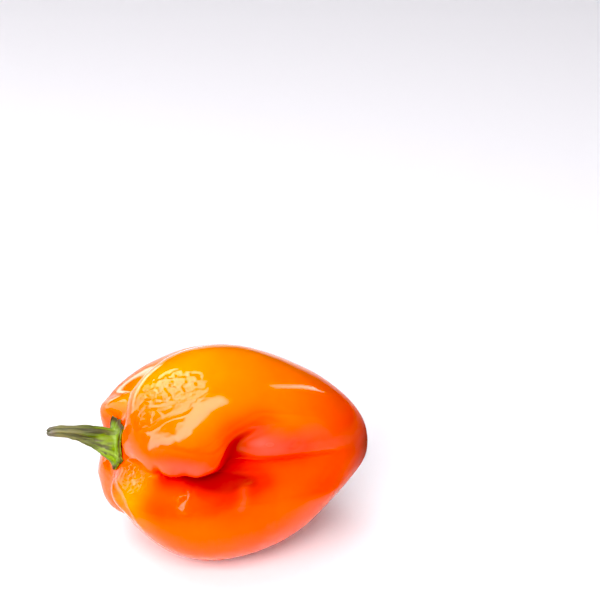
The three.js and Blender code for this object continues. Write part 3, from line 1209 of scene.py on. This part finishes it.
    def rim_share(self, angle: Array) -> Array:
        """Finds how dark the cap's margin is.

        Args:
            angle: the angles round the cap.

        Returns:
            The darkness at each angle: more on long teeth and on the dried side.
        """
        plain, by_reach, least = self.rim_darkness
        tooth = np.clip(plain + self.tooth_share(angle, "reach") * by_reach, least, 1)
        dried, dried_width = np.radians(self.dried_side)
        return tooth + hump(turn_between(dried, angle), dried_width)


# ---- The studio


class Softbox(NamedTuple):
    """A soft lamp: what it does, where it hangs, its size in metres, its long side's way and its power."""

    name: str
    glow: Glow
    azimuth: float
    elevation: float
    size: Pair
    along: Triple
    watts: float
    colour: Triple = (1.0, 1.0, 1.0)


def direction(azimuth: float, elevation: float) -> Vector:
    """Returns the way to something seen at an azimuth and elevation; azimuth 0 is towards -Y."""
    a, e = math.radians(azimuth), math.radians(elevation)
    return Vector((math.sin(a) * math.cos(e), -math.cos(a) * math.cos(e), math.sin(e)))


@dataclass
class Studio:
    """The pale floor, the soft lights and the camera."""

    floor_size: float = 4
    world_colour: Triple = (0.93, 0.95, 1.0)
    world_strength: float = 0.15
    light_distance: float = 0.55
    softboxes: tuple[Softbox, ...] = (
        Softbox("front_fill", Glow.FILL, -32, 31, (0.6, 0.4), (1, 0, 0), 7.0),
        Softbox("top_fill", Glow.FILL, -140, 72, (0.6, 0.4), (1, 0, 0), 1.8),
        Softbox("sky", Glow.FILL, 0, 88, (1.6, 1.6), (1, 0, 0), 3.0),
        Softbox("key_strip", Glow.SHINE, -20, 54, (0.75, 0.15), (0.69, -0.11, 0.72), 4.8),
        Softbox("low_strip", Glow.SHINE, -69, 10, (0.5, 0.1), (0.5, -0.3, 0.8), 2.0),
        Softbox("overhead", Glow.SHINE, -130, 70, (0.6, 0.36), (-0.27, 0.9, -0.35), 7.2),
        Softbox("left_panel", Glow.SHINE, -120, 27, (0.42, 0.22), (-0.12, -0.81, 0.58), 1.25),
        Softbox("right_strip", Glow.SHINE, 114, 31, (0.4, 0.03), (0.16, 0.68, -0.72), 0.35),
        Softbox("right_panel", Glow.SHINE, 50, 12, (0.8, 0.16), (0.64, 0.77, 0), 0.6, (1, 0.75, 0.9)),
        Softbox("back_panel", Glow.SHINE, -152, 5, (0.48, 0.075), (0.88, 0.47, 0), 0.58),
    )
    azimuth: float = -15
    elevation: float = 26
    distance: float = 0.45
    pixels_per_mm: float = 5.29
    image_pixels: int = 600
    pod_pixel: Pair = (236.5, 442.6)
    sensor: float = 36
    clip: Pair = (0.01, 20)

    def floor(self, finish: Material) -> Object:
        """Lays the floor.

        Args:
            finish: its material.

        Returns:
            The floor.
        """
        bm = bmesh.new()
        bmesh.ops.create_grid(bm, x_segments=1, y_segments=1, size=self.floor_size / 2)
        mesh = bpy.data.meshes.new("floor")
        bm.to_mesh(mesh)
        bm.free()
        mesh.materials.append(finish)
        floor = add_object("floor", mesh)
        return floor

    def light(self, target: Vector) -> None:
        """Sets the world and hangs the softboxes.

        Args:
            target: what they are aimed at.
        """
        world = bpy.data.worlds.new("studio")
        world.use_nodes = True
        background = world.node_tree.nodes["Background"]
        background.inputs[0].default_value = (*self.world_colour, 1)
        background.inputs[1].default_value = self.world_strength
        bpy.context.scene.world = world
        for box in self.softboxes:
            data = bpy.data.lights.new(box.name, "AREA")
            data.shape = "RECTANGLE"
            data.size, data.size_y = box.size
            data.energy = box.watts
            data.color = box.colour
            lamp = add_object(box.name, data)
            away = direction(box.azimuth, box.elevation)
            across = away.cross(Vector(box.along)).normalized()
            lamp.location = target + away * self.light_distance
            lamp.rotation_euler = Matrix((across.cross(away), across, away)).transposed().to_euler()
            lamp.visible_camera = False
            lamp.visible_diffuse = box.glow is Glow.FILL
            lamp.visible_glossy = box.glow is Glow.SHINE

    def camera(self, target: Vector) -> Object:
        """Sets up the camera so that the target shows at its pixel of the photograph, at its scale.

        Args:
            target: the middle of the pod.

        Returns:
            The camera.
        """
        back = direction(self.azimuth, self.elevation)
        right = direction(self.azimuth + 90, 0)
        up = back.cross(right)
        centre = self.image_pixels / 2
        shift = right * (centre - self.pod_pixel[0]) + up * (self.pod_pixel[1] - centre)
        data = bpy.data.cameras.new("camera")
        data.sensor_width = self.sensor
        data.lens = self.sensor * self.pixels_per_mm / MM * self.distance / self.image_pixels
        data.clip_start, data.clip_end = self.clip
        camera = add_object("camera", data)
        camera.location = target + shift * (MM / self.pixels_per_mm) + back * self.distance
        camera.rotation_mode = "QUATERNION"
        camera.rotation_quaternion = Matrix((right, up, back)).transposed().to_quaternion()
        bpy.context.scene.camera = camera
        return camera


def show(piece: Object, node: str) -> None:
    """Puts a piece in the place of its CAD node and reports it.

    Args:
        piece: the piece.
        node: the node's name.
    """
    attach(piece, "root")
    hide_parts(node)
    LOG.info("%s: %d faces, in the place of %s", piece.name, len(piece.data.polygons), node)


def main() -> None:
    """Builds the fruit and its studio round the frame."""
    logging.basicConfig(level=logging.INFO, format="%(name)s: %(message)s")
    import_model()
    form = PodForm()
    lie = Lie.of_frame(form)
    mottle = mottle_group()
    show(Pod(form, lie).build(WaxySkin(mottle).make()), "pod")
    show(Stalk(form, lie).build(DryStalk(mottle).make()), "stalk_with_calyx")
    low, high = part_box("pod")
    middle = (low + high) / 2
    studio = Studio()
    studio.floor(PaleFloor(mottle).make())
    studio.light(middle)
    studio.camera(middle)
    view = bpy.context.scene.view_settings
    view.view_transform = "Standard"
    view.use_curve_mapping = True
    view.curve_mapping.black_level = [BLACK_LEVEL] * 3
    view.curve_mapping.update()


if __name__ == "__main__":
    main()
